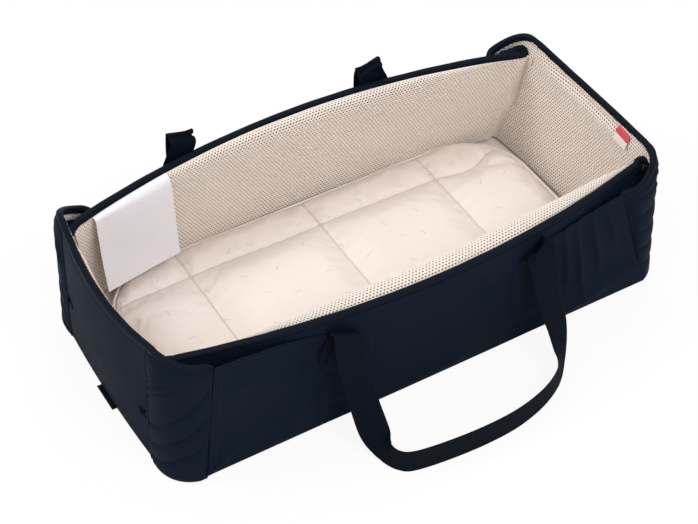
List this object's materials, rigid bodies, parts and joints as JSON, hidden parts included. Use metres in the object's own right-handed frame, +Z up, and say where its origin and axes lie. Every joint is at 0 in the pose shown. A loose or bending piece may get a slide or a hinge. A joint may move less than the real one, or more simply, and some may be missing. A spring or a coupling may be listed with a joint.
{
  "type": "carrycot",
  "caption": "Soft carrycot with stiff ends, quilted corner wraps, side walls that draw in, a quilted mattress and webbing carrying handles.",
  "frame": {"origin": "centre of the base's underside", "axes": "+X along the cot's length towards the head end, +Y across towards the rear wall, +Z up"},
  "size_m": [0.7606, 0.5681, 0.2039],
  "materials": {
    "navy_fabric": "matt woven shell fabric",
    "navy_binding": "folded rim binding with topstitching",
    "webbing": "ribbed webbing",
    "mesh_lining": "open spacer mesh",
    "mattress_cotton": "quilted cotton with small marks",
    "stiffener": "plain board",
    "white_tag": "smooth blank tag fabric",
    "red_tag": "woven tag with a plain stripe"
  },
  "bodies": {
    "cot": {"base_cover": "navy_fabric", "base_board": "stiffener", "base_lining": "mesh_lining", "mattress": "mattress_cotton", "mattress_piping": "mattress_cotton", "front_lower_panel": "navy_fabric", "rear_lower_panel": "navy_fabric", "left_end_cover": "navy_fabric", "left_end_board": "stiffener", "left_end_lining": "mesh_lining", "left_end_binding": "navy_binding", "left_base_tab": "webbing", "left_front_slot_tab": "webbing", "left_rear_slot_tab": "webbing", "right_end_cover": "navy_fabric", "right_end_board": "stiffener", "right_end_lining": "mesh_lining", "right_end_binding": "navy_binding", "right_base_tab": "webbing", "right_front_slot_tab": "webbing", "right_rear_slot_tab": "webbing", "right_end_tag": "red_tag", "front_left_wrap": "navy_fabric", "front_left_gusset": "mesh_lining", "front_right_wrap": "navy_fabric", "front_right_gusset": "mesh_lining", "rear_left_wrap": "navy_fabric", "rear_left_gusset": "mesh_lining", "rear_right_wrap": "navy_fabric", "rear_right_gusset": "mesh_lining"},
    "front_wall": {"front_side_panel": "navy_fabric", "front_side_band": "navy_fabric", "front_side_board": "stiffener", "front_side_lining": "mesh_lining", "front_side_binding": "navy_binding", "front_left_flap": "navy_fabric", "front_right_flap": "navy_fabric", "front_left_strap_anchor": "webbing", "front_right_strap_anchor": "webbing"},
    "rear_wall": {"rear_side_panel": "navy_fabric", "rear_side_band": "navy_fabric", "rear_side_board": "stiffener", "rear_side_lining": "mesh_lining", "rear_side_binding": "navy_binding", "rear_left_flap": "navy_fabric", "rear_right_flap": "navy_fabric", "rear_left_strap_anchor": "webbing", "rear_right_strap_anchor": "webbing", "rear_hang_tag": "white_tag"},
    "front_loop": {"front_handle": "webbing"},
    "rear_loop": {"rear_handle": "webbing"}
  },
  "joints": [
    {"name": "front_wall_draw_in", "type": "hinge", "parent": "cot", "child": "front_wall", "pos_m": [0, -0.1704, 0.042], "axis": [-1, 0, 0], "range_deg": [0, 16], "deforming": ["front_left_gusset", "front_right_gusset"]},
    {"name": "rear_wall_draw_in", "type": "hinge", "parent": "cot", "child": "rear_wall", "pos_m": [0, 0.1704, 0.042], "axis": [1, 0, 0], "range_deg": [0, 16], "deforming": ["rear_left_gusset", "rear_right_gusset"]},
    {"name": "front_handle_swing", "type": "hinge", "parent": "front_wall", "child": "front_loop", "pos_m": [0, -0.18405, 0.16], "axis": [-1, 0, 0], "range_deg": [-12, 164]},
    {"name": "rear_handle_swing", "type": "hinge", "parent": "rear_wall", "child": "rear_loop", "pos_m": [0, 0.18525, 0.203], "axis": [1, 0, 0], "range_deg": [0, 178]}
  ]
}
